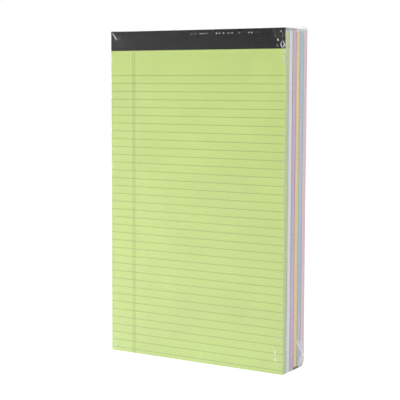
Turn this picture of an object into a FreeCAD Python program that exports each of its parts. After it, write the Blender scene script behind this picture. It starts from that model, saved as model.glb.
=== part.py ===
import FreeCAD, Part
import math
import os
from FreeCAD import Vector

# Shrink-wrapped pack of six ruled legal pads, standing on its foot.
# Millimetres, +Z up. The origin is the middle of the foot, and the ruled face
# of the first pad looks towards -Y.

# leaves and board of one pad
sheet_width = 215.9  # 8.5 in
sheet_length = 355.6  # 14 in
sheet_stack = 7.0  # fifty leaves, loosely pressed
board_thickness = 0.76
perforation_drop = 1.6  # from the tape's lower edge to the tear line
perforation_height = 0.5
perforation_depth = 0.12

# tape folded over the head of a pad
tape_thickness = 0.22
tape_reach = 20.35  # down the front and down the board
fold_rise = 0.4  # loose room between the leaves' head and the tape

# flat-wire stitches under the tape
stitch_count = 3
stitch_spacing = 66.0
stitch_drop = 10.0  # from the head of the leaves to the wire's middle
stitch_crown = 13.0
stitch_clinch = 4.6  # length of each bent end on the board
wire_thickness = 0.45
wire_width = 0.9
wire_bend = 0.7  # outside radius of its bends
stitch_clearance = 0.04

# printed ruling of one pad
rule_spacing = 8.69
first_rule = 47.3  # from the head of the leaves
foot_margin = 3.0  # least blank paper under the last rule
rule_height = 0.4
ink_thickness = 0.03
margin_place = 28.85  # from the leaves' left edge to the outer margin line
margin_gap = 2.5  # from one margin line to the other
margin_width = 0.4

# how the pads lie in the pack
pad_colours = ["green", "gray", "orchid", "buff", "blue", "pink"]
heads_up = 3  # the others, the last one too, stand on their bound end, so the pack stays level
pad_clearance = 0.03
pressed_round = 6.3  # the pack's rear foot edge, where the last pad's bound end is pressed round

# clear film round the pack
film_wall = 0.05
film_front_clearance = 0.08
film_side_clearance = 0.2
film_end_clearance = 0.15
film_edge_radius = 0.5
seal_width = 1.8
seal_height = 0.1
ear_height = 0.06  # an ear is one more layer of film on the wall
ear_foot_rise = 30.0
ear_head_drop = 22.0
gather_drop = 3.8  # band of gathered film under the head of each narrow side
gather_height = 0.12
gather_count = 15
pleat_count = 5
pleat_start = 2.2  # from the corner of a broad side to where its pleats begin
pleat_length = 15.0
pleat_width = 1.1
pleat_height = 0.14

# worked out from the sizes above
pad_body = sheet_stack + board_thickness
pad_depth = pad_body + 2 * tape_thickness
pad_height = sheet_length + fold_rise + tape_thickness
pad_pitch = pad_depth + pad_clearance
rule_count = 1 + int((sheet_length - first_rule - foot_margin) / rule_spacing)
stack_depth = len(pad_colours) * pad_pitch - pad_clearance
wall_x = sheet_width / 2 + film_side_clearance + film_wall
wall_y = stack_depth / 2 + film_front_clearance + film_wall
pad_floor = film_wall + film_end_clearance
last_bend = min(pressed_round, pad_body - fold_rise)
film_foot_round = last_bend + tape_thickness + film_wall
wall_top = pad_floor + pad_height + film_end_clearance + film_wall


def block(low, high):
    size = Vector(*high) - Vector(*low)
    return Part.makeBox(size.x, size.y, size.z, Vector(*low))


def prism(points, along):
    return Part.Face(Part.makePolygon(points + points[:1])).extrude(along)


# One pad is made in its own frame: the ruled face is at y = 0, the leaves'
# foot at z = 0, and x = 0 is its middle.

def wire_loop(grow):
    # flat wire round leaves and board, open between its two bent ends
    half = stitch_crown / 2
    z_low = sheet_length - stitch_drop - wire_width / 2 - grow
    z_high = sheet_length - stitch_drop + wire_width / 2 + grow
    inset = wire_thickness + grow
    outer = block((-half - grow, -grow, z_low), (half + grow, pad_body + grow, z_high))
    inner = block((-half + inset, inset, z_low), (half - inset, pad_body - inset, z_high))
    gap_half = half - stitch_clinch - grow
    gap = block((-gap_half, pad_body / 2, z_low), (gap_half, pad_body + inset, z_high))
    return outer.cut(inner).cut(gap)


def edges_along(solid, way):
    return [edge for edge in solid.Edges if abs(edge.tangentAt(edge.FirstParameter).dot(way)) > 0.99]


def bent_corners(wire):
    # the four upright edges on the outside of the loop
    return [
        edge
        for edge in edges_along(wire, Vector(0, 0, 1))
        if abs(edge.CenterOfMass.x) > stitch_crown / 2 - wire_thickness / 2
    ]


def at_each_stitch(wire):
    first = -stitch_spacing * (stitch_count - 1) / 2
    return [wire.translated(Vector(first + stitch_spacing * i, 0, 0)) for i in range(stitch_count)]


def make_staples():
    wire = wire_loop(0)
    return Part.makeCompound(at_each_stitch(wire.makeFillet(wire_bend, bent_corners(wire))))


def tape_outline(offset, z_low, back_bend):
    # section of the fold in the plane x = 0, offset from the leaves and the board
    rise = fold_rise + offset
    bend = back_bend + offset
    front = -offset
    back = pad_body + offset
    top = sheet_length + rise
    inset = 1 - math.sqrt(0.5)
    front_arc = Part.Arc(
        Vector(0, front, top - rise),
        Vector(0, front + rise * inset, top - rise * inset),
        Vector(0, front + rise, top),
    )
    back_arc = Part.Arc(
        Vector(0, back - bend, top),
        Vector(0, back - bend * inset, top - bend * inset),
        Vector(0, back, top - bend),
    )
    edges = [
        Part.makeLine(Vector(0, front, z_low), Vector(0, front, top - rise)),
        front_arc.toShape(),
        Part.makeLine(Vector(0, front + rise, top), Vector(0, back - bend, top)),
        back_arc.toShape(),
        Part.makeLine(Vector(0, back, top - bend), Vector(0, back, z_low)),
        Part.makeLine(Vector(0, back, z_low), Vector(0, front, z_low)),
    ]
    return Part.Face(Part.Wire(edges))


def tape_room(offset, z_low, back_bend):
    section = tape_outline(offset, z_low, back_bend)
    return section.extrude(Vector(sheet_width, 0, 0)).translated(Vector(-sheet_width / 2, 0, 0))


def make_sheets(back_bend):
    half = sheet_width / 2
    leaves = block((-half, 0, 0), (half, sheet_stack, sheet_length))
    leaves = leaves.common(tape_room(0, 0, back_bend))
    tear_top = sheet_length - tape_reach - perforation_drop
    groove_low = (-half, 0, tear_top - perforation_height)
    leaves = leaves.cut(block(groove_low, (half, perforation_depth, tear_top)))
    return leaves.cut(at_each_stitch(wire_loop(stitch_clearance)))


def make_backing(back_bend):
    half = sheet_width / 2
    board = block((-half, sheet_stack, 0), (half, pad_body, sheet_length))
    board = board.common(tape_room(0, 0, back_bend))
    return board.cut(at_each_stitch(wire_loop(stitch_clearance)))


def make_binding(back_bend):
    z_low = sheet_length - tape_reach
    return tape_room(tape_thickness, z_low, back_bend).cut(tape_room(0, z_low, back_bend))


def make_ruling():
    # the margin lines are printed over the rules, so they lie one coat further out
    half = sheet_width / 2
    bars = []
    for row in range(rule_count):
        z = sheet_length - first_rule - rule_spacing * row
        low = (-half, -ink_thickness, z - rule_height / 2)
        bars.append(block(low, (half, 0, z + rule_height / 2)))
    margin_top = sheet_length - tape_reach - perforation_drop - perforation_height
    for x in (margin_place - half, margin_place + margin_gap - half):
        low = (x - margin_width / 2, -2 * ink_thickness, 0)
        bars.append(block(low, (x + margin_width / 2, -ink_thickness, margin_top)))
    return Part.makeCompound(bars)


def make_pad(back_bend):
    return {
        "sheets": make_sheets(back_bend),
        "backing": make_backing(back_bend),
        "binding": make_binding(back_bend),
        "staples": make_staples(),
        "ruling": make_ruling(),
    }


def place_pad(shape, number):
    # a pad that stands on its bound end is turned over about the pack's depth
    placed = shape.copy()
    if number >= heads_up:
        placed.rotate(Vector(0, 0, pad_height / 2), Vector(0, 1, 0), 180)
    front = -stack_depth / 2 + pad_pitch * number
    return placed.translated(Vector(0, front + tape_thickness, pad_floor))


# The film's folds are made on the +X side and mirrored to the other one.

def make_seal():
    # flattened weld along the middle of the narrow sides and over the head
    high_x = wall_x + seal_height
    half = seal_width / 2
    foot = film_edge_radius
    low = (-high_x, -half, foot - film_edge_radius - seal_height)
    rim = block(low, (high_x, half, wall_top + seal_height))
    rim = rim.makeFillet(film_edge_radius + seal_height, edges_along(rim, Vector(0, 1, 0)))
    inside = wall_x - film_wall / 2
    rim = rim.cut(block((-inside, -seal_width, -seal_width), (inside, seal_width, wall_top - film_wall / 2)))
    under = block((-2 * wall_x, -seal_width, -seal_width), (2 * wall_x, seal_width, foot))
    return rim.cut(under)


def on_side(depth, z):
    # a point on the +X wall, sunk half the wall, at this share of the pack's depth
    reach = wall_y - film_edge_radius
    return Vector(wall_x - film_wall / 2, -reach + 2 * reach * depth, z)


def make_ears():
    # spare film at the corners of a narrow side, folded flat on it
    out = Vector(film_wall / 2 + ear_height, 0, 0)
    foot = film_edge_radius
    top = wall_top - film_edge_radius
    at_foot = [
        on_side(0.42, foot),
        on_side(0.64, ear_foot_rise),
        on_side(0.88, ear_foot_rise * 0.47),
        on_side(0.74, foot),
    ]
    at_head = [
        on_side(0.0, top),
        on_side(1.0, top),
        on_side(0.94, top - ear_head_drop * 0.45),
        on_side(0.88, top - ear_head_drop),
        on_side(0.72, top - gather_drop),
        on_side(0.04, top - gather_drop),
    ]
    return [prism(at_foot, out), prism(at_head, out)]


def make_gathers():
    # small upright folds along the head of a narrow side
    top = wall_top - film_edge_radius
    folds = []
    for i in range(gather_count):
        depth = (i + 0.5) / gather_count
        half = 0.28 / gather_count
        fold = [on_side(depth - half, top), on_side(depth + half, top), on_side(depth, top - gather_drop)]
        folds.append(prism(fold, Vector(film_wall / 2 + gather_height, 0, 0)))
    return folds


def make_pleat(corner_x, corner_z, side, angle, length):
    # a ridge that runs from a corner of a broad side and dies out on it
    sunk = film_wall / 2
    along = Vector(math.copysign(math.cos(angle), -corner_x), 0, math.copysign(math.sin(angle), -corner_z))
    across = Vector(-along.z, 0, along.x)
    middle_z = wall_top / 2
    corner = Vector(corner_x, side * (wall_y - sunk), middle_z + corner_z)
    start = corner + along * pleat_start
    crest = start + along * pleat_width + Vector(0, side * (sunk + pleat_height), 0)
    base = [start - across * (pleat_width / 2), start + across * (pleat_width / 2), start + along * length]
    faces = [Part.Face(Part.makePolygon(base + base[:1]))]
    for i in range(3):
        edge = [base[i], base[(i + 1) % 3], crest]
        faces.append(Part.Face(Part.makePolygon(edge + edge[:1])))
    return Part.makeSolid(Part.makeShell(faces))


def make_pleats():
    ridges = []
    corner_x = wall_x - film_edge_radius
    for side in (-1, 1):
        for sign_x in (-1, 1):
            for sign_z in (-1, 1):
                rear_foot = side > 0 and sign_z < 0
                corner_z = wall_top / 2 - (film_foot_round if rear_foot else film_edge_radius)
                for i in range(pleat_count):
                    angle = math.radians(90) * (i + 0.6) / (pleat_count + 0.2)
                    length = pleat_length * (1.0 - 0.45 * (i % 2))
                    ridges.append(make_pleat(sign_x * corner_x, sign_z * corner_z, side, angle, length))
    return ridges


def rear_foot_edges(solid):
    return [
        edge
        for edge in edges_along(solid, Vector(1, 0, 0))
        if edge.CenterOfMass.y > 0 and edge.CenterOfMass.z < wall_top / 2
    ]


def film_body(inset):
    # the rear foot edge is as round as the pad that is pressed there, the others are small
    body = block((-wall_x + inset, -wall_y + inset, inset), (wall_x - inset, wall_y - inset, wall_top - inset))
    body = body.makeFillet(film_foot_round - inset, rear_foot_edges(body))
    seams = rear_foot_edges(body)
    corners = [edge for edge in body.Edges if not any(edge.isSame(seam) for seam in seams)]
    return body.makeFillet(film_edge_radius - inset, corners)


def make_film():
    folds = make_ears() + make_gathers()
    mirrored = [fold.mirror(Vector(0, 0, 0), Vector(1, 0, 0)) for fold in folds]
    outside = film_body(0).fuse([make_seal()] + folds + mirrored + make_pleats())
    return outside.cut(film_body(film_wall)).removeSplitter()


def write_part(shape, name):
    shape.exportStep("parts/" + name + ".step")


os.makedirs("parts", exist_ok=True)
plain_pad = make_pad(fold_rise)
pressed_pad = make_pad(last_bend)
for number, colour in enumerate(pad_colours):
    pad = pressed_pad if number == len(pad_colours) - 1 else plain_pad
    for piece, shape in pad.items():
        write_part(place_pad(shape, number), colour + "_" + piece)
write_part(make_film(), "film")
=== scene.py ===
import math
import random

import bmesh
import bpy
from mathutils import Matrix, Vector, noise


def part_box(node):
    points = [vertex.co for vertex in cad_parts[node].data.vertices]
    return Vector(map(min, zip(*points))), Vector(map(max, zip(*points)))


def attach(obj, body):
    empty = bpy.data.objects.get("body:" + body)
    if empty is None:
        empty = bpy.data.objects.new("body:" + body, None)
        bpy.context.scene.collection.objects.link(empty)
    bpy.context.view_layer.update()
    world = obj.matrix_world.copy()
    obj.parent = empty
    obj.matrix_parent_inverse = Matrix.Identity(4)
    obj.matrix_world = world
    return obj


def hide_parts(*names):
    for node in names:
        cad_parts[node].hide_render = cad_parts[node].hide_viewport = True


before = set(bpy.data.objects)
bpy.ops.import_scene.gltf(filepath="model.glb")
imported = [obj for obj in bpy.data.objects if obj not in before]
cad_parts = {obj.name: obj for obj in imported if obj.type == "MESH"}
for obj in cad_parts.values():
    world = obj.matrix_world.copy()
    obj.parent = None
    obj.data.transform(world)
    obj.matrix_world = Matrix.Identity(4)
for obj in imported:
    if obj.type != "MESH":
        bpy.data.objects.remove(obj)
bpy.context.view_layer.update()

# Clear-wrapped pack of six legal pads. Metres, the ruled face looks towards -Y.
print("frame loaded:", len(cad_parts), "CAD nodes")

padColours = ["green", "gray", "orchid", "buff", "blue", "pink"]
headsUp = 3  # the first three pads stand on their foot, the others on their bound end
mm = 0.001


# small helpers

def fromScreen(colour):
    # colour as a screen shows it, 0 to 255 a channel, to what a shader takes
    linear = [c / 255 / 12.92 if c < 10.3 else ((c / 255 + 0.055) / 1.055) ** 2.4 for c in colour]
    return (*linear, 1.0)


def shade(colour, amount):
    return tuple(min(255, c * amount) for c in colour)


def clamp(value, low=0.0, high=1.0):
    return max(low, min(high, value))


def startMaterial(name):
    material = bpy.data.materials.new(name)
    material.use_nodes = True
    tree = material.node_tree
    return material, tree, tree.nodes["Principled BSDF"]


def addNode(tree, kind, feeds=None, **settings):
    # feeds: input name or number -> a socket to link, or a plain value
    node = tree.nodes.new("ShaderNode" + kind)
    for name, value in settings.items():
        setattr(node, name, value)
    for name, feed in (feeds or {}).items():
        if isinstance(feed, bpy.types.NodeSocket):
            tree.links.new(feed, node.inputs[name])
        else:
            node.inputs[name].default_value = feed
    return node


def doMath(tree, operation, first, second=0.0, third=0.0):
    return addNode(tree, "Math", {0: first, 1: second, 2: third}, operation=operation).outputs[0]


def mixColours(tree, factor, first, second):
    feeds = {0: factor, 6: first, 7: second}
    return addNode(tree, "Mix", feeds, data_type="RGBA").outputs[2]


def remap(tree, value, fromLow, fromHigh, toLow=0.0, toHigh=1.0):
    feeds = {"Value": value, 1: fromLow, 2: fromHigh, 3: toLow, 4: toHigh}
    return addNode(tree, "MapRange", feeds).outputs[0]


def grain(tree, place, scale, detail=3.0, stretch=None):
    # noise of about 1 / scale metres, stretch squeezes it along an axis
    if stretch:
        place = addNode(tree, "Mapping", {"Vector": place, "Scale": stretch}).outputs[0]
    feeds = {"Vector": place, "Scale": scale, "Detail": detail}
    return addNode(tree, "TexNoise", feeds).outputs["Fac"]


def objectPlace(tree):
    return addNode(tree, "TexCoord").outputs["Object"]


def splitUp(tree, vector):
    return addNode(tree, "SeparateXYZ", {0: vector}).outputs


def faceNormal(tree):
    return splitUp(tree, addNode(tree, "NewGeometry").outputs["Normal"])


def addBump(tree, shader, height, strength, distance):
    feeds = {"Height": height, "Strength": strength, "Distance": distance}
    tree.links.new(addNode(tree, "Bump", feeds).outputs[0], shader.inputs["Normal"])


def dress(nodeName, material):
    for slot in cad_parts[nodeName].material_slots:
        slot.material = material


# paper: fibre mottle on the faces, leaf lines on the edges, with painted shade and highlights

paperLook = {
    "colours": {
        "green": (192, 212, 127),
        "gray": (230, 233, 238),
        "orchid": (209, 186, 215),
        "buff": (243, 213, 158),
        "blue": (180, 208, 221),
        "pink": (240, 204, 215),
    },
    "mottle": 0.035,  # how far the fibres stray from the colour
    "fibreScale": 900,
    "leafPitch": 0.134 * mm,
    "gapPaintedShade": 0.80,  # painted shade: colour between two leaves, as a share of the paper's
    "firstRule": 47.3 * mm,  # from the head, as printed
    "rulePitch": 8.69 * mm,
    "ruleTick": 0.35 * mm,
    "tickShade": 0.16,
    "tearLine": 22.2 * mm,  # from the head
    # the tear line's pale band is a painted highlight
    "tearHalf": 0.7 * mm,
    "tearHighlightShare": 0.35,
    "tearHighlightLevel": 1.16,
    "cutsPerMetre": 833,
    "cutShare": 0.25,
    "boundEnd": 2.6 * mm,  # the leaves' edges darken this near to the tape's fold: the tape's dark edge and painted shade
    "boundFull": 1.2 * mm,
    "tapeEdgeAndShadeShare": 0.38,
}


def makePaper(name, colour, headUp, sheetsBox):
    material, tree, shader = startMaterial(name)
    place = objectPlace(tree)
    spot = splitUp(tree, place)
    normal = faceNormal(tree)
    onFace = doMath(tree, "GREATER_THAN", doMath(tree, "ABSOLUTE", normal["Y"]), 0.5)
    fromHead = doMath(tree, "SUBTRACT", sheetsBox[1].z, spot["Z"])
    if not headUp:
        fromHead = doMath(tree, "SUBTRACT", spot["Z"], sheetsBox[0].z)

    fibres = grain(tree, place, paperLook["fibreScale"], 6)
    clouds = grain(tree, place, 22, 4)
    blend = doMath(tree, "MULTIPLY_ADD", fibres, 0.6, doMath(tree, "MULTIPLY", clouds, 0.4))
    dark = fromScreen(shade(colour, 1 - paperLook["mottle"]))
    light = fromScreen(shade(colour, 1 + paperLook["mottle"]))
    faceColour = mixColours(tree, remap(tree, blend, 0.3, 0.7), dark, light)

    # painted highlight: the pressed tear line catches the light between its small cuts
    tearDistance = doMath(tree, "ABSOLUTE", doMath(tree, "SUBTRACT", fromHead, paperLook["tearLine"]))
    tear = remap(tree, tearDistance, paperLook["tearHalf"], 0)
    alongCut = doMath(tree, "FRACT", doMath(tree, "MULTIPLY", spot["X"], paperLook["cutsPerMetre"]))
    cut = doMath(tree, "GREATER_THAN", alongCut, paperLook["cutShare"])
    tear = doMath(tree, "MULTIPLY", tear, doMath(tree, "MULTIPLY_ADD", cut, 0.5, 0.5))
    pale = fromScreen(shade(colour, paperLook["tearHighlightLevel"]))
    faceColour = mixColours(tree, doMath(tree, "MULTIPLY", tear, paperLook["tearHighlightShare"]), faceColour, pale)

    # leaf edges: one dark gap a leaf, painted shade, and bundles that lie a little proud, painted a little
    # lighter as if lit
    leaves = grain(tree, place, 1, 2, (30, 1 / paperLook["leafPitch"], 30))
    bundles = grain(tree, place, 1, 2, (8, 900, 8))
    leafMix = doMath(tree, "MULTIPLY_ADD", bundles, 0.5, doMath(tree, "MULTIPLY", leaves, 0.6))
    gapShadeColour = fromScreen(shade(colour, paperLook["gapPaintedShade"]))
    edge = fromScreen(shade(colour, 1.03))
    edgeColour = mixColours(tree, remap(tree, leafMix, 0.3, 0.75), gapShadeColour, edge)
    fromFirst = doMath(tree, "SUBTRACT", fromHead, paperLook["firstRule"])
    row = doMath(tree, "DIVIDE", fromFirst, paperLook["rulePitch"])
    offRow = doMath(tree, "ABSOLUTE", doMath(tree, "SUBTRACT", row, doMath(tree, "ROUND", row)))
    tick = remap(tree, offRow, paperLook["ruleTick"] / paperLook["rulePitch"], 0)
    tick = doMath(tree, "MULTIPLY", tick, doMath(tree, "GREATER_THAN", row, -0.5))
    tickColour = fromScreen(shade(colour, 0.6))
    tick = doMath(tree, "MULTIPLY", tick, paperLook["tickShade"])
    edgeColour = mixColours(tree, tick, edgeColour, tickColour)

    # painted shade at the bound end, together with the tape's dark edge over the leaves
    tapeEdgeAndShade = remap(tree, fromHead, paperLook["boundEnd"], paperLook["boundFull"])
    tapeEdgeAndShadeColour = fromScreen(shade(colour, paperLook["tapeEdgeAndShadeShare"]))
    edgeColour = mixColours(tree, tapeEdgeAndShade, edgeColour, tapeEdgeAndShadeColour)

    colourOut = mixColours(tree, onFace, edgeColour, faceColour)
    tree.links.new(colourOut, shader.inputs["Base Color"])
    tree.links.new(remap(tree, fibres, 0.3, 0.7, 0.72, 0.9), shader.inputs["Roughness"])
    shader.inputs["Specular IOR Level"].default_value = 0.2
    height = doMath(tree, "MULTIPLY_ADD", doMath(tree, "SUBTRACT", 1.0, onFace), leaves, fibres)
    addBump(tree, shader, height, 0.35, 0.00006)
    return material


# print on the paper, as its own thin bars

inkLook = {
    "share": 0.68,  # of the paper's colour, on a screen
    "marginShare": 0.60,
    "marginStrength": 0.8,
    "marginPlace": 28.85 * mm,  # from the leaves' left edge
    "marginGap": 2.5 * mm,
    "marginSpare": 1.0 * mm,
}


def makeInk(name, paperColour, edgesAt):
    # the two upright margin lines are darker than the rules
    material, tree, shader = startMaterial(name)
    place = objectPlace(tree)
    spot = splitUp(tree, place)
    inMargin = doMath(
        tree,
        "MULTIPLY",
        doMath(tree, "GREATER_THAN", spot["X"], edgesAt[0]),
        doMath(tree, "LESS_THAN", spot["X"], edgesAt[1]),
    )
    wear = grain(tree, place, 1500, 3)
    rule = mixColours(
        tree,
        remap(tree, wear, 0.35, 0.65),
        fromScreen(shade(paperColour, inkLook["share"] * 0.96)),
        fromScreen(shade(paperColour, inkLook["share"] * 1.04)),
    )
    margin = fromScreen([c * inkLook["marginShare"] for c in paperColour])
    darker = doMath(tree, "MULTIPLY", inMargin, inkLook["marginStrength"])
    colourOut = mixColours(tree, darker, rule, margin)
    tree.links.new(colourOut, shader.inputs["Base Color"])
    tree.links.new(remap(tree, wear, 0.3, 0.7, 0.6, 0.8), shader.inputs["Roughness"])
    shader.inputs["Specular IOR Level"].default_value = 0.2
    return material


# chipboard of the backs

boardLook = {
    "colour": (158, 145, 128),
    "fleck": (112, 100, 88),
    "pale": (184, 174, 158),
}


def makeBoard():
    material, tree, shader = startMaterial("chipboard")
    place = objectPlace(tree)
    pulp = grain(tree, place, 420, 6)
    streaks = grain(tree, place, 1, 3, (160, 9000, 26))
    specks = grain(tree, place, 1500, 2)
    base = mixColours(
        tree,
        remap(tree, pulp, 0.3, 0.7),
        fromScreen(shade(boardLook["colour"], 0.93)),
        fromScreen(shade(boardLook["colour"], 1.06)),
    )
    base = mixColours(tree, remap(tree, streaks, 0.45, 0.8, 0, 0.4), base, fromScreen(boardLook["pale"]))
    base = mixColours(tree, remap(tree, specks, 0.64, 0.72, 0, 0.7), base, fromScreen(boardLook["fleck"]))
    tree.links.new(base, shader.inputs["Base Color"])
    tree.links.new(remap(tree, pulp, 0.3, 0.7, 0.75, 0.95), shader.inputs["Roughness"])
    shader.inputs["Specular IOR Level"].default_value = 0.2
    addBump(tree, shader, doMath(tree, "ADD", pulp, specks), 0.4, 0.00008)
    return material


# binding tape: charcoal paper tape with a pressed leather grain

tapeLook = {
    "colour": (28, 28, 28),
    "worn": (48, 48, 47),
    "grainScale": 1300,
}


def makeTape():
    material, tree, shader = startMaterial("bindingTape")
    place = objectPlace(tree)
    cells = addNode(
        tree, "TexVoronoi", {"Vector": place, "Scale": tapeLook["grainScale"]}, feature="DISTANCE_TO_EDGE"
    ).outputs["Distance"]
    pebbles = remap(tree, cells, 0.0, 0.25)
    smudge = grain(tree, place, 60, 4)
    fine = grain(tree, place, 3000, 3)
    base = mixColours(
        tree,
        remap(tree, smudge, 0.35, 0.65),
        fromScreen(shade(tapeLook["colour"], 0.94)),
        fromScreen(shade(tapeLook["colour"], 1.07)),
    )
    base = mixColours(tree, remap(tree, fine, 0.6, 0.8, 0, 0.35), base, fromScreen(tapeLook["worn"]))
    tree.links.new(base, shader.inputs["Base Color"])
    tree.links.new(remap(tree, smudge, 0.3, 0.7, 0.5, 0.62), shader.inputs["Roughness"])
    shader.inputs["Specular IOR Level"].default_value = 0.05
    addBump(tree, shader, doMath(tree, "MULTIPLY_ADD", fine, 0.3, pebbles), 0.3, 0.00005)
    return material


# stitching wire

wireLook = {"colour": (176, 178, 182)}


def makeWire():
    material, tree, shader = startMaterial("stapleWire")
    place = objectPlace(tree)
    drawn = grain(tree, place, 1, 3, (120, 9000, 9000))
    base = mixColours(
        tree, drawn, fromScreen(shade(wireLook["colour"], 0.85)), fromScreen(wireLook["colour"])
    )
    tree.links.new(base, shader.inputs["Base Color"])
    tree.links.new(remap(tree, drawn, 0.3, 0.7, 0.28, 0.42), shader.inputs["Roughness"])
    shader.inputs["Metallic"].default_value = 1.0
    addBump(tree, shader, drawn, 0.2, 0.00002)
    return material


# clear shrink film: see-through, a weak mirror, milky where it is creased; the milky white also paints its
# glints, sheen and edge highlights

filmLook = {
    "mirrorShare": 0.004,  # seen straight on, each side of the wall
    "mirrorMost": 0.35,  # seen edge on
    "shine": (255, 255, 255),
    "milkAndHighlight": (249, 249, 252),
    "shineRoughness": 0.09,
    "milkRoughness": 0.28,
    "mostHazeAndHighlight": 0.9,
}


def makeFilmMaterial(name):
    material, tree, milkAndHighlight = startMaterial(name)
    place = objectPlace(tree)
    ripple = grain(tree, place, 420, 3)
    bumped = addNode(
        tree, "Bump", {"Height": ripple, "Strength": 0.25, "Distance": 0.0001}
    ).outputs[0]
    # the share that the film mirrors, alike on both sides of its wall
    slant = addNode(tree, "LayerWeight", {"Blend": 0.5, "Normal": bumped}).outputs["Facing"]
    straight = filmLook["mirrorShare"]
    span = filmLook["mirrorMost"] - straight
    mirror = doMath(tree, "MULTIPLY_ADD", doMath(tree, "POWER", slant, 5), span, straight)
    clear = addNode(tree, "BsdfTransparent").outputs[0]
    gloss = addNode(
        tree,
        "BsdfAnisotropic",
        {"Color": fromScreen(filmLook["shine"]), "Roughness": filmLook["shineRoughness"], "Normal": bumped},
    ).outputs[0]
    pane = addNode(tree, "MixShader", {0: mirror, 1: clear, 2: gloss}).outputs[0]

    # milky white of creased film, which also paints glints, sheen and edge highlights
    creaseAndHighlight = addNode(tree, "Attribute", attribute_name="hazeAndHighlight").outputs["Fac"]
    texture = remap(tree, grain(tree, place, 700, 3), 0.3, 0.7, 0.7, 1.2)
    hazeAndHighlight = doMath(tree, "MULTIPLY", creaseAndHighlight, texture)
    hazeAndHighlight = doMath(tree, "MINIMUM", hazeAndHighlight, filmLook["mostHazeAndHighlight"])
    milkAndHighlight.inputs["Base Color"].default_value = fromScreen(filmLook["milkAndHighlight"])
    milkAndHighlight.inputs["Roughness"].default_value = filmLook["milkRoughness"]
    tree.links.new(bumped, milkAndHighlight.inputs["Normal"])
    both = addNode(tree, "MixShader", {0: hazeAndHighlight, 1: pane, 2: milkAndHighlight.outputs[0]}).outputs[0]
    tree.links.new(both, tree.nodes["Material Output"].inputs["Surface"])
    return material


boardMaterial = makeBoard()
tapeMaterial = makeTape()
wireMaterial = makeWire()
for number, colourName in enumerate(padColours):
    paperColour = paperLook["colours"][colourName]
    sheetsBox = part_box(colourName + "_sheets")
    upright = number < headsUp
    dress(colourName + "_sheets", makePaper(colourName + "Paper", paperColour, upright, sheetsBox))
    marginStart = sheetsBox[0].x + inkLook["marginPlace"] - inkLook["marginSpare"]
    marginSpan = (marginStart, marginStart + inkLook["marginGap"] + 2 * inkLook["marginSpare"])
    if not upright:
        marginSpan = (-marginSpan[1], -marginSpan[0])
    dress(colourName + "_ruling", makeInk(colourName + "Ruling", paperColour, marginSpan))
    dress(colourName + "_backing", boardMaterial)
    dress(colourName + "_binding", tapeMaterial)
    dress(colourName + "_staples", wireMaterial)
print("pads dressed:", len(padColours))


# the film's mesh: a rounded box with a fine net where it creases

filmLow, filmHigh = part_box("film")

filmSheet = {
    "sealHeight": 0.12 * mm,  # the CAD film's welds and ears stand this far off its walls
    "pleatHeight": 0.14 * mm,
    "headHeight": 0.1 * mm,
    "edgeRound": 0.5 * mm,
    "roundSteps": 2,
    "footRound": 6.57 * mm,  # the rear foot edge, pressed round
    "wall": 0.05 * mm,
    "cornerReach": 22 * mm,  # fine net on the broad faces, from each upright edge
    "headReach": 22 * mm,
    "footReach": 42 * mm,
    "fineStep": 0.7 * mm,
    "footStep": 0.85 * mm,
    "openCuts": 7,
    # painted highlight where the film rounds the upright edges
    "edgeHighlight": 0.16,
    "leastVeil": 0.004,  # each wall clouds the view a little; more to the left and to the foot is a painted sheen
    "leftSheen": 0.010,
    "footSheen": 0.045,
    "sideVeil": 0.028,
}

# soft folds of the film: paths in millimetres, on the broad front as (x, z); their whiteness is creased
# film with a faint painted glint
frontCreases = [
    {"path": [(-104.5, 352.5), (-99.0, 344.5), (-94.3, 338.3)], "width": 1.3, "lift": 0.05, "hazeAndHighlight": 0.012},
    {"path": [(-102.8, 353.8), (-95.5, 348.2), (-90.2, 345.0)], "width": 1.3, "lift": 0.05, "hazeAndHighlight": 0.012},
    {"path": [(92.5, 355.6), (96.5, 351.5), (98.5, 346.5)], "width": 1.2, "lift": 0.12, "hazeAndHighlight": 0.02},
    {"path": [(99.5, 355.4), (101.5, 350.5), (101.8, 345.0)], "width": 1.2, "lift": 0.12, "hazeAndHighlight": 0.02},
    {"path": [(99.9, 40.0), (100.2, 37.0), (99.0, 31.0), (99.4, 27.0), (98.6, 22.6), (99.1, 18.5),
              (98.9, 15.4), (100.2, 11.8), (101.1, 9.2), (101.9, 5.0)],
     "width": 1.2, "lift": 0.2, "hazeAndHighlight": 0.02},
    {"path": [(-106.4, 3.0), (-101.0, 7.0), (-96.5, 8.8)], "width": 1.2, "lift": 0.3, "hazeAndHighlight": 0.08},
]

# on the narrow side as (y, z), whitened the same way: partly creased film, partly painted glints
sideCreases = [
    {"path": [(15.4, 353.4), (16.3, 351.6), (17.3, 344.0), (18.4, 334.0)],
     "width": 1.3, "lift": 0.35, "hazeAndHighlight": 0.10},
    {"path": [(5.6, 31.5), (6.9, 29.1), (11.6, 24.0), (16.0, 19.4), (18.5, 14.1), (17.4, 11.6),
              (15.4, 9.5), (13.0, 6.6), (11.8, 3.9), (11.4, 1.2)], "width": 1.4, "lift": 0.4, "hazeAndHighlight": 0.20},
]
sidePatches = [
    {"outline": [(11.4, 0.4), (11.8, 3.9), (15.4, 9.5), (18.5, 14.1), (11.6, 24.0), (15.0, 31.0),
                 (24.4, 22.0), (24.4, 0.4)], "lift": 0.10, "hazeAndHighlight": 0.34},
    {"outline": [(-24.6, 352.8), (24.6, 352.8), (24.6, 356.8), (-24.6, 356.8)], "lift": 0.10, "hazeAndHighlight": 0.24},
]
gathers = {"count": 15, "span": 47.8, "drop": 4.2, "lift": 0.22, "hazeAndHighlight": 0.4}
# pale bands where the film turns the upright edges, painted highlights: reach and brightness at the front
# edge and at the rear one
edgeHighlightBands = {"frontReach": 10.0, "frontEdgeHighlight": 0.12, "rearReach": 7.0, "rearEdgeHighlight": 0.08}
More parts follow.
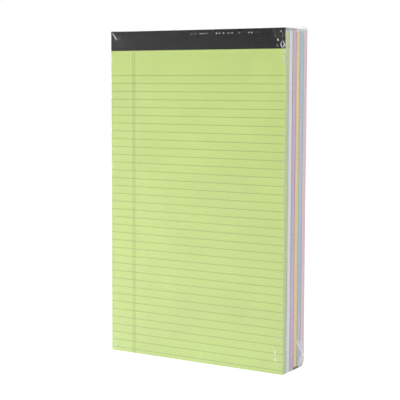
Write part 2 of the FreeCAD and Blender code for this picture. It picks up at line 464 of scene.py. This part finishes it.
# the film's head stands proud over the narrow sides, least at the front
ruffle = {"front": 0.5, "rear": 2.0, "inward": 7.0, "drop": 5.0, "wave": 0.25}
seal = {"half": 0.9, "lift": 0.10, "hazeAndHighlight": 0.03}

# crisp creases: path, width and whiteness of each bead of pinched film, partly the creased film's own
# white, partly a painted glint
frontRidges = [
    ([(-106.0, 354.9), (-103.6, 351.8), (-101.4, 349.0), (-100.4, 347.4)], 0.9, 0.80),
    ([(-101.4, 354.4), (-98.0, 349.5), (-95.6, 344.0)], 0.5, 0.06),
    ([(-104.9, 349.4), (-101.9, 343.0), (-100.6, 338.5)], 0.5, 0.05),
    ([(-97.0, 351.0), (-93.4, 344.6), (-90.6, 338.0)], 0.7, 0.04),
    ([(102.3, 353.4), (103.2, 352.0)], 1.0, 0.60),
    ([(98.9, 345.4), (99.2, 344.4), (99.9, 343.4)], 1.6, 0.86),
    ([(103.0, 342.0), (102.6, 339.8), (103.4, 337.4), (104.6, 336.2)], 1.0, 0.66),
    ([(105.4, 342.8), (106.6, 340.2), (106.0, 337.6), (104.8, 336.0)], 0.9, 0.62),
    ([(102.8, 341.6), (104.2, 343.2), (105.8, 343.0)], 0.7, 0.45),
    ([(97.0, 352.6), (95.8, 349.0), (96.4, 345.4)], 0.5, 0.14),
    ([(103.6, 354.6), (104.6, 349.2), (104.2, 344.6)], 0.5, 0.16),
    ([(106.4, 351.8), (105.6, 346.6)], 0.5, 0.16),
    ([(97.6, 339.4), (99.4, 337.4)], 0.7, 0.35),
    ([(106.9, 340.0), (107.5, 337.6)], 1.0, 0.70),
    ([(106.6, 334.6), (107.2, 330.8)], 1.7, 0.85),
    ([(105.0, 329.0), (105.7, 326.2)], 1.8, 0.86),
    ([(106.9, 324.6), (107.2, 319.0)], 1.4, 0.60),
    ([(100.4, 38.8), (100.8, 37.0), (100.4, 35.8)], 1.5, 0.70),
    ([(99.6, 24.6), (99.2, 22.6), (99.3, 20.8)], 2.1, 0.88),
    ([(99.3, 17.0), (99.4, 15.4), (99.6, 13.6)], 2.1, 0.88),
    ([(100.6, 11.6), (101.1, 10.2), (101.8, 8.6)], 1.4, 0.65),
    ([(100.0, 33.6), (99.2, 29.0), (99.8, 25.6)], 0.6, 0.30),
    ([(99.2, 20.6), (99.8, 18.6), (99.2, 17.2)], 0.6, 0.35),
    ([(104.4, 32.0), (103.6, 24.0), (104.4, 15.0), (105.4, 6.0)], 0.4, 0.16),
    ([(-106.0, 4.5), (-104.6, 9.0), (-103.6, 13.0)], 0.4, 0.22),
    ([(-105.6, 3.2), (-101.6, 6.6), (-98.4, 8.0)], 0.4, 0.22),
]
# crisp creases on the narrow side, whitened the same way: partly creased film, partly painted glints
sideRidges = [
    ([(15.8, 353.0), (16.4, 351.4), (17.4, 344.0), (18.4, 335.0)], 1.3, 0.55),
    ([(19.4, 351.0), (20.0, 345.5), (21.4, 341.0)], 0.9, 0.30),
    ([(6.2, 30.4), (7.6, 28.4), (11.6, 24.0), (16.2, 19.0), (18.8, 14.2)], 2.4, 0.95),
    ([(18.8, 14.2), (17.4, 11.6), (15.4, 9.5), (13.0, 6.6), (11.8, 3.9), (11.4, 1.4)], 1.9, 0.88),
    ([(19.2, 15.4), (20.8, 14.4), (21.8, 12.4), (21.4, 10.0)], 3.2, 0.95),
    ([(14.6, 17.6), (15.4, 12.8), (17.6, 8.4), (18.0, 3.2)], 1.0, 0.40),
    ([(21.0, 27.0), (21.8, 20.0), (21.4, 16.0)], 0.8, 0.25),
    ([(-22.0, 2.5), (-17.5, 8.5), (-15.0, 15.0)], 0.4, 0.22),
    ([(-21.5, 349.0), (-18.0, 343.5), (-16.3, 336.0)], 0.4, 0.25),
]
# pinches in a row under the head of the broad front: place, length and whiteness, partly pinched film,
# partly a painted glint
pinchRow = {
    "height": 352.2,
    "width": 1.75,
    "rise": 0.7,  # of a pinch's two ends, up and down, so that it lies aslant
    "dots": [
        (-22.6, 1.0, 0.18), (-3.2, 1.0, 0.30), (1.2, 1.0, 0.38), (7.4, 1.6, 0.40), (9.8, 1.2, 0.34),
        (12.4, 1.6, 0.30), (15.6, 1.3, 0.26), (27.2, 1.3, 0.74), (30.8, 1.2, 0.56), (35.6, 1.4, 0.58),
        (41.6, 1.6, 0.34), (45.8, 1.3, 0.40), (54.4, 1.6, 0.28), (65.6, 1.1, 0.50), (69.0, 1.2, 0.68),
        (77.0, 1.3, 0.20),
    ],
}


# folds that run out from a corner of the back or of the head, in millimetres
fanLook = {
    "folds": (6, 8),
    "reach": (6.0, 17.0),
    "bend": 1.6,
    "start": (1.2, 3.0),
    "width": (0.3, 0.6),
    # whiteness of each fold: partly creased film, partly a painted glint
    "hazeAndHighlight": (0.12, 0.5),
    "backSeed": 900,
    "headSeed": 300,
}
# the broad low fold that each crisp crease stands on
softFold = {"width": 1.3, "lift": 0.08, "hazeAndHighlightShare": 0.04}


def cornerFan(corner, toward, seed):
    dice = random.Random(seed)
    creases = []
    count = dice.randint(*fanLook["folds"])
    for i in range(count):
        angle = math.radians(90) * (i + dice.uniform(0.3, 0.7)) / count
        reach = dice.uniform(*fanLook["reach"])
        bend = dice.uniform(-fanLook["bend"], fanLook["bend"])
        along = Vector((math.cos(angle) * toward[0], math.sin(angle) * toward[1]))
        across = Vector((-along.y, along.x))
        base = Vector(corner) + along * dice.uniform(*fanLook["start"])
        middle = base + along * reach * 0.5 + across * bend
        tip = base + along * reach
        path = [tuple(base), tuple(middle), tuple(tip)]
        creases.append((path, dice.uniform(*fanLook["width"]), dice.uniform(*fanLook["hazeAndHighlight"])))
    return creases


def softened(ridges):
    width, lift, share = softFold["width"], softFold["lift"], softFold["hazeAndHighlightShare"]
    return [{"path": path, "width": width, "lift": lift, "hazeAndHighlight": hazeAndHighlight * share} for path, _, hazeAndHighlight in ridges]


def nearPath(path, u, v):
    # distance from the path, and how far along it, 0 to 1
    best = (1e9, 0.0)
    steps = len(path) - 1
    for i in range(steps):
        (ua, va), (ub, vb) = path[i], path[i + 1]
        du, dv = ub - ua, vb - va
        t = clamp(((u - ua) * du + (v - va) * dv) / (du * du + dv * dv))
        distance = math.hypot(u - ua - t * du, v - va - t * dv)
        if distance < best[0]:
            best = (distance, (i + t) / steps)
    return best


def creasedAt(creases, u, v):
    lift = 0.0
    hazeAndHighlight = 0.0
    for crease in creases:
        lowU, highU, lowV, highV = crease["span"]
        if not (lowU < u < highU and lowV < v < highV):
            continue
        distance, along = nearPath(crease["path"], u, v)
        profile = math.exp(-((distance / crease["width"]) ** 2))
        profile *= clamp(8 * along, 0.4) * clamp(6 * (1 - along), 0.3)
        lift += crease["lift"] * profile
        hazeAndHighlight = max(hazeAndHighlight, crease["hazeAndHighlight"] * profile)
    return lift, hazeAndHighlight


def insideOutline(outline, u, v):
    inside = False
    for i in range(len(outline)):
        (ua, va), (ub, vb) = outline[i - 1], outline[i]
        if (va > v) != (vb > v) and u < ua + (v - va) / (vb - va) * (ub - ua):
            inside = not inside
    return inside


def measured(creases):
    for crease in creases:
        reach = crease["width"] * 2.5
        us = [point[0] for point in crease["path"]]
        vs = [point[1] for point in crease["path"]]
        crease["span"] = (min(us) - reach, max(us) + reach, min(vs) - reach, max(vs) + reach)
    return creases


def gatherWave(y):
    # 1 on a gather of the head, -1 between two
    return math.cos(2 * math.pi * y * gathers["count"] / gathers["span"])


def narrowSideAt(creases, y, z, top):
    lift, hazeAndHighlight = creasedAt(creases, y, z)
    for patch in sidePatches:
        if insideOutline(patch["outline"], y, z):
            lift += patch["lift"]
            hazeAndHighlight = max(hazeAndHighlight, patch["hazeAndHighlight"])
    fromTop = top - z
    if fromTop < gathers["drop"]:
        wave = 0.5 + 0.5 * gatherWave(y)
        fade = 1 - fromTop / gathers["drop"]
        lift += gathers["lift"] * wave * wave * fade
        hazeAndHighlight = max(hazeAndHighlight, gathers["hazeAndHighlight"] * wave * wave * fade)
    if abs(y) < seal["half"]:
        lift += seal["lift"]
        hazeAndHighlight = max(hazeAndHighlight, seal["hazeAndHighlight"])
    fromFront, fromRear = y - filmLow.y / mm, filmHigh.y / mm - y
    # painted highlights along the narrow side's upright edges
    hazeAndHighlight = max(hazeAndHighlight, edgeHighlightBands["frontEdgeHighlight"] * clamp(1 - fromFront / edgeHighlightBands["frontReach"]) ** 0.6)
    hazeAndHighlight = max(hazeAndHighlight, edgeHighlightBands["rearEdgeHighlight"] * clamp(1 - fromRear / edgeHighlightBands["rearReach"]) ** 0.6)
    return lift, hazeAndHighlight


def ruffleAt(x, y, z, wide, top):
    # how far the head of the film stands up, near the narrow sides only
    near = math.exp(-(((wide - abs(x)) / ruffle["inward"]) ** 2)) * clamp(1 - (top - z) / ruffle["drop"])
    back = clamp((y - filmLow.y / mm) / (filmHigh.y - filmLow.y) * mm)
    wave = 1 + ruffle["wave"] * gatherWave(y)
    return near * wave * (ruffle["front"] + (ruffle["rear"] - ruffle["front"]) * back)


def veilAndSheenAt(x, z, wide, top):
    # even haze of each wall, and a painted sheen that grows to the left and to the foot
    toLeft = (wide - x) / (2 * wide)
    toFoot = 1 - z / top
    return filmSheet["leastVeil"] + filmSheet["leftSheen"] * toLeft + filmSheet["footSheen"] * toFoot


def pickEdges(sheet, axis, low, high):
    # edges that run along the axis between two places, a ring round the box
    net = bmesh.from_edit_mesh(sheet.data)
    for edge in net.edges:
        a, b = edge.verts[0].co, edge.verts[1].co
        along = abs(b[axis] - a[axis]) > 0.99 * (b - a).length
        inside = min(a[axis], b[axis]) > low - 1e-6 and max(a[axis], b[axis]) < high + 1e-6
        edge.select_set(along and inside)
    bmesh.update_edit_mesh(sheet.data)


def pressFoot(sheet, low, high):
    # the square corner along the rear foot edge becomes a round one
    radius = filmSheet["footRound"]
    middleY, middleZ = high.y - radius, low.z + radius
    for vertex in sheet.data.vertices:
        out, down = vertex.co.y - middleY, middleZ - vertex.co.z
        if out > 0 and down > 0:
            share = max(out, down) / math.hypot(out, down)
            vertex.co.y = middleY + out * share
            vertex.co.z = middleZ - down * share
    sheet.data.update()


def makeFilmSheet():
    bpy.ops.object.select_all(action="DESELECT")
    standOff = Vector((filmSheet["sealHeight"], filmSheet["pleatHeight"], 0))
    low = filmLow + standOff
    high = filmHigh - standOff - Vector((0, 0, filmSheet["headHeight"]))
    bpy.ops.mesh.primitive_cube_add(size=1, location=(low + high) / 2, scale=high - low)
    sheet = bpy.context.active_object
    sheet.name = "clear_film"
    bpy.ops.object.transform_apply(location=True, rotation=True, scale=True)
    bpy.ops.object.mode_set(mode="EDIT")
    bpy.ops.mesh.select_mode(type="EDGE")
    bpy.ops.mesh.select_all(action="SELECT")
    bpy.ops.mesh.bevel(offset=filmSheet["edgeRound"], segments=filmSheet["roundSteps"], affect="EDGES")

    cuts = [
        (0, low.x + filmSheet["cornerReach"]),
        (0, high.x - filmSheet["cornerReach"]),
        (2, low.z + filmSheet["footReach"]),
        (2, high.z - filmSheet["headReach"]),
    ]
    for axis, place in cuts:
        normal = [0, 0, 0]
        normal[axis] = 1
        point = [0, 0, 0]
        point[axis] = place
        bpy.ops.mesh.select_all(action="SELECT")
        bpy.ops.mesh.bisect(plane_co=point, plane_no=normal)

    edge = filmSheet["edgeRound"]
    coarse = 1
    fine = filmSheet["fineStep"] * coarse
    rings = [
        (0, low.x + edge, cuts[0][1], fine),
        (0, cuts[1][1], high.x - edge, fine),
        (0, cuts[0][1], cuts[1][1], None),
        (1, low.y + edge, high.y - edge, fine),
        (2, low.z + edge, cuts[2][1], filmSheet["footStep"] * coarse),
        (2, cuts[3][1], high.z - edge, fine),
        (2, cuts[2][1], cuts[3][1], None),
    ]
    for axis, start, end, step in rings:
        pickEdges(sheet, axis, start, end)
        count = filmSheet["openCuts"] if step is None else round((end - start) / step) - 1
        bpy.ops.mesh.subdivide_edgering(number_cuts=count, interpolation="LINEAR")
    bpy.ops.object.mode_set(mode="OBJECT")
    pressFoot(sheet, low, high)
    print("film net:", len(sheet.data.polygons), "faces")
    return sheet, low, high


def makeFans(low, high):
    # creases that gather at the corners of the back and of the head
    wide, deep, top = high.x / mm, high.y / mm, high.z / mm
    roundFoot = filmSheet["footRound"] / mm
    fans = {"back": [], "head": []}
    for side in (-1, 1):
        for cornerZ, towardZ in ((roundFoot, 1), (top, -1)):
            seed = int(fanLook["backSeed"] + side * wide + cornerZ)
            fans["back"] += cornerFan((side * wide, cornerZ), (-side, towardZ), seed)
        for end in (-1, 1):
            seed = int(fanLook["headSeed"] + side * wide + end * deep)
            fans["head"] += cornerFan((side * wide, end * deep), (-side, -end), seed)
    return fans


def mirrored(ridges):
    return [([(-u, v) for u, v in path], width, hazeAndHighlight) for path, width, hazeAndHighlight in ridges]


def creaseFilm(sheet, low, high, fans):
    wide, top = high.x / mm, high.z / mm
    front = measured(frontCreases + softened(frontRidges))
    back = measured(softened(fans["back"]))
    head = measured(softened(fans["head"]))
    right = measured(sideCreases)
    left = measured([dict(crease, path=[(-y, z) for y, z in crease["path"]]) for crease in sideCreases])

    hazeAndHighlightValues = []
    moves = []
    for vertex in sheet.data.vertices:
        x, y, z = vertex.co / mm
        normal = vertex.normal
        lift = 0.0
        hazeAndHighlight = 0.0
        if abs(normal.y) > 0.1:
            broadLift, broadHazeAndHighlight = creasedAt(front if normal.y < 0 else back, x, z)
            lift += broadLift * normal.y ** 2
            hazeAndHighlight = max(hazeAndHighlight, broadHazeAndHighlight + veilAndSheenAt(x, z, wide, top) * abs(normal.y))
        if abs(normal.x) > 0.1:
            sideLift, sideHazeAndHighlight = narrowSideAt(right if normal.x > 0 else left, y, z, top)
            lift += sideLift * normal.x ** 2
            hazeAndHighlight = max(hazeAndHighlight, sideHazeAndHighlight + filmSheet["sideVeil"] * abs(normal.x))
        if normal.z > 0.1:
            headLift, headHazeAndHighlight = creasedAt(head, x, y)
            if abs(y) < seal["half"]:
                headLift += seal["lift"]
            lift += headLift * normal.z ** 2
            hazeAndHighlight = max(hazeAndHighlight, headHazeAndHighlight + filmSheet["sideVeil"] * normal.z)
        # painted highlight where the film rounds the upright edges
        steepest = max(abs(normal.x), abs(normal.y), abs(normal.z))
        if steepest < 0.98 and abs(normal.x) > 0.1:
            wander = 0.75 + 0.5 * noise.noise(Vector((x, y, z)) * 0.06)
            hazeAndHighlight = max(hazeAndHighlight, filmSheet["edgeHighlight"] * wander * clamp((0.98 - steepest) * 5))
        if normal.z < -0.1:
            lift = 0.0
        moves.append((normal * lift + Vector((0, 0, ruffleAt(x, y, z, wide, top)))) * mm)
        hazeAndHighlightValues.append(clamp(hazeAndHighlight))
    for vertex, move in zip(sheet.data.vertices, moves):
        vertex.co += move
    layer = sheet.data.attributes.new("hazeAndHighlight", "FLOAT", "POINT")
    layer.data.foreach_set("value", hazeAndHighlightValues)


ridgeLook = {
    "rise": 0.14 * mm,  # most that a bead stands off the wall, and reaches into it
    "tip": 0.45,  # width at its ends, as a share of the middle
    "steps": 3,
}


def onWall(face, u, v, low, high):
    # a place on one of the film's walls, and which of x, y and z points out of it
    walls = {
        "front": (Vector((u * mm, low.y, v * mm)), 1),
        "back": (Vector((u * mm, high.y, v * mm)), 1),
        "right": (Vector((high.x, u * mm, v * mm)), 0),
        "left": (Vector((low.x, u * mm, v * mm)), 0),
        "head": (Vector((u * mm, v * mm, high.z)), 2),
    }
    return walls[face]


def makeRidge(face, path, width, hazeAndHighlight, low, high):
    # a flat tapered bead along the path; its whiteness is partly creased film, partly a painted glint
    if len(path) == 2:
        middle = ((path[0][0] + path[1][0]) / 2, (path[0][1] + path[1][1]) / 2)
        path = [path[0], middle, path[1]]
    curve = bpy.data.curves.new("ridge", "CURVE")
    curve.dimensions = "3D"
    curve.bevel_depth = width / 2 * mm
    curve.bevel_resolution = 1
    curve.use_fill_caps = True
    spline = curve.splines.new("NURBS")
    spline.points.add(len(path) - 1)
    spline.resolution_u = ridgeLook["steps"]
    for i, (u, v) in enumerate(path):
        place, outWay = onWall(face, u, v, low, high)
        spline.points[i].co = (*place, 1.0)
        spline.points[i].radius = ridgeLook["tip"] if i in (0, len(path) - 1) else 1.0
    spline.order_u = 3
    spline.use_endpoint_u = True
    ridge = bpy.data.objects.new("ridge", curve)
    bpy.context.scene.collection.objects.link(ridge)
    bpy.ops.object.select_all(action="DESELECT")
    ridge.select_set(True)
    bpy.context.view_layer.objects.active = ridge
    bpy.ops.object.convert(target="MESH")
    ridge = bpy.context.active_object
    flat = min(1.0, ridgeLook["rise"] / (width / 2 * mm))
    for vertex in ridge.data.vertices:
        vertex.co[outWay] = place[outWay] + (vertex.co[outWay] - place[outWay]) * flat
    layer = ridge.data.attributes.new("hazeAndHighlight", "FLOAT", "POINT")
    layer.data.foreach_set("value", [hazeAndHighlight] * len(ridge.data.vertices))
    return ridge


def makeRidges(low, high, fans):
    rows = {
        "front": list(frontRidges),
        "right": sideRidges,
        "left": mirrored(sideRidges),
        "back": fans["back"],
        "head": fans["head"],
    }
    for x, length, hazeAndHighlight in pinchRow["dots"]:
        half = length / 2
        z = pinchRow["height"]
        lean = pinchRow["rise"] / 2
        path = [(x - half, z + lean), (x, z), (x + half, z - lean)]
        rows["front"].append((path, pinchRow["width"], hazeAndHighlight))
    return [
        makeRidge(face, path, width, hazeAndHighlight, low, high)
        for face, ridges in rows.items()
        for path, width, hazeAndHighlight in ridges
    ]


filmObject, filmInnerLow, filmInnerHigh = makeFilmSheet()
filmFans = makeFans(filmInnerLow, filmInnerHigh)
creaseFilm(filmObject, filmInnerLow, filmInnerHigh, filmFans)
wall = filmObject.modifiers.new("wall", "SOLIDIFY")
wall.thickness = filmSheet["wall"]
wall.offset = -1
bpy.context.view_layer.objects.active = filmObject
bpy.ops.object.modifier_apply(modifier="wall")
filmRidges = makeRidges(filmInnerLow, filmInnerHigh, filmFans)
bpy.ops.object.select_all(action="DESELECT")
for part in filmRidges + [filmObject]:
    part.select_set(True)
bpy.context.view_layer.objects.active = filmObject
bpy.ops.object.join()
bpy.ops.object.shade_smooth_by_angle(angle=math.radians(40))
filmObject.data.materials.append(makeFilmMaterial("clearFilm"))
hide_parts("film")
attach(filmObject, "root")
print("film made:", len(filmObject.data.polygons), "faces")


# floor, world and lamps

studio = {
    "floorSize": 9.0,
    "floorColour": (236, 236, 236),
    "floorGlow": 0.80,  # what the camera sees of the floor whatever the light
    "floorLit": (168, 168, 168),  # and under the lamps, so that the shadow stays
    "skyLight": 0.50,
    # soft boxes: a broad key on the left, a narrow one low beside it for the foot,
    # two on the right and one behind
    "lamps": [
        {"name": "key", "place": (-1.7, -1.0, 0.35), "aim": (0, 0, 0.18),
         "power": 17.0, "size": 1.0, "spread": 180},
        {"name": "low", "place": (-1.2, -0.9, 0.10), "aim": (0, 0, -0.16),
         "power": 1.2, "size": 0.5, "spread": 50},
        {"name": "front", "place": (1.3, -1.9, 0.7), "aim": (0, 0, 0.18),
         "power": 6.0, "size": 1.4, "spread": 180},
        {"name": "fill", "place": (2.2, -0.6, 1.0), "aim": (0, 0, 0.18),
         "power": 18.2, "size": 1.6, "spread": 180},
        {"name": "rear", "place": (-0.9, 2.4, 1.3), "aim": (0, 0, 0.18),
         "power": 18.0, "size": 1.6, "spread": 180},
    ],
}


def seenDirectly(tree):
    # 1 for what the camera sees itself, in a mirror or through glass
    path = addNode(tree, "LightPath").outputs
    first = doMath(tree, "MAXIMUM", path["Is Camera Ray"], path["Is Glossy Ray"])
    return doMath(tree, "MAXIMUM", first, path["Is Transmission Ray"])


def makeFloor():
    bpy.ops.object.select_all(action="DESELECT")
    bpy.ops.mesh.primitive_plane_add(size=studio["floorSize"], location=(0, 0, 0))
    floor = bpy.context.active_object
    floor.name = "floor"
    material, tree, lit = startMaterial("floor")
    place = objectPlace(tree)
    tone = mixColours(
        tree,
        grain(tree, place, 3, 2),
        fromScreen(shade(studio["floorColour"], 0.99)),
        fromScreen(studio["floorColour"]),
    )
    tree.links.new(tone, lit.inputs["Base Color"])
    lit.inputs["Roughness"].default_value = 0.9
    lit.inputs["Specular IOR Level"].default_value = 0.0
    glow = addNode(tree, "Emission", {"Color": (1, 1, 1, 1), "Strength": studio["floorGlow"]}).outputs[0]
    shadowed = addNode(tree, "BsdfDiffuse", {"Color": fromScreen(studio["floorLit"])}).outputs[0]
    seen = addNode(tree, "AddShader", {0: glow, 1: shadowed}).outputs[0]
    both = addNode(tree, "MixShader", {0: seenDirectly(tree), 1: lit.outputs[0], 2: seen}).outputs[0]
    tree.links.new(both, tree.nodes["Material Output"].inputs["Surface"])
    floor.data.materials.append(material)


def makeWorld():
    world = bpy.data.worlds.new("studio")
    bpy.context.scene.world = world
    world.use_nodes = True
    tree = world.node_tree
    tree.nodes.clear()
    light = addNode(tree, "Background", {"Color": (1, 1, 1, 1), "Strength": studio["skyLight"]}).outputs[0]
    white = addNode(tree, "Background", {"Color": (1, 1, 1, 1), "Strength": 1.0}).outputs[0]
    both = addNode(tree, "MixShader", {0: seenDirectly(tree), 1: light, 2: white}).outputs[0]
    addNode(tree, "OutputWorld", {"Surface": both})


def addLamp(name, place, aim, power, size, spread):
    lamp = bpy.data.lights.new(name, "AREA")
    lamp.energy = power
    lamp.size = size
    lamp.spread = math.radians(spread)
    holder = bpy.data.objects.new(name, lamp)
    bpy.context.scene.collection.objects.link(holder)
    holder.location = place
    holder.rotation_euler = (Vector(aim) - Vector(place)).to_track_quat("-Z", "Y").to_euler()


makeFloor()
makeWorld()
for lampRow in studio["lamps"]:
    addLamp(**lampRow)
print("studio lit")


# the photograph's camera

photoCamera = {
    "place": (0.63604, -1.05695, 0.29859),
    "yaw": math.radians(31.334),  # from +Y towards -X
    "pitch": math.radians(5.167),  # downwards
    "roll": math.radians(0.19),
    "lens": 102.637,  # on a sensor 36 mm wide
    "shift": -0.03,
}


def makeCamera():
    data = bpy.data.cameras.new("photoCamera")
    camera = bpy.data.objects.new("photoCamera", data)
    bpy.context.scene.collection.objects.link(camera)
    data.sensor_width = 36
    data.sensor_fit = "HORIZONTAL"
    data.lens = photoCamera["lens"]
    data.shift_y = photoCamera["shift"]
    yaw, pitch, roll = (photoCamera[key] for key in ("yaw", "pitch", "roll"))
    ahead = Vector((-math.sin(yaw) * math.cos(pitch), math.cos(yaw) * math.cos(pitch), -math.sin(pitch)))
    level = Vector((math.cos(yaw), math.sin(yaw), 0))
    up = level.cross(ahead)
    right = level * math.cos(roll) + up * math.sin(roll)
    up = up * math.cos(roll) - level * math.sin(roll)
    turn = Matrix((right, up, -ahead)).transposed()
    camera.matrix_world = Matrix.Translation(photoCamera["place"]) @ turn.to_4x4()
    bpy.context.scene.camera = camera


makeCamera()
bpy.context.scene.view_settings.view_transform = "Standard"
print("camera set")
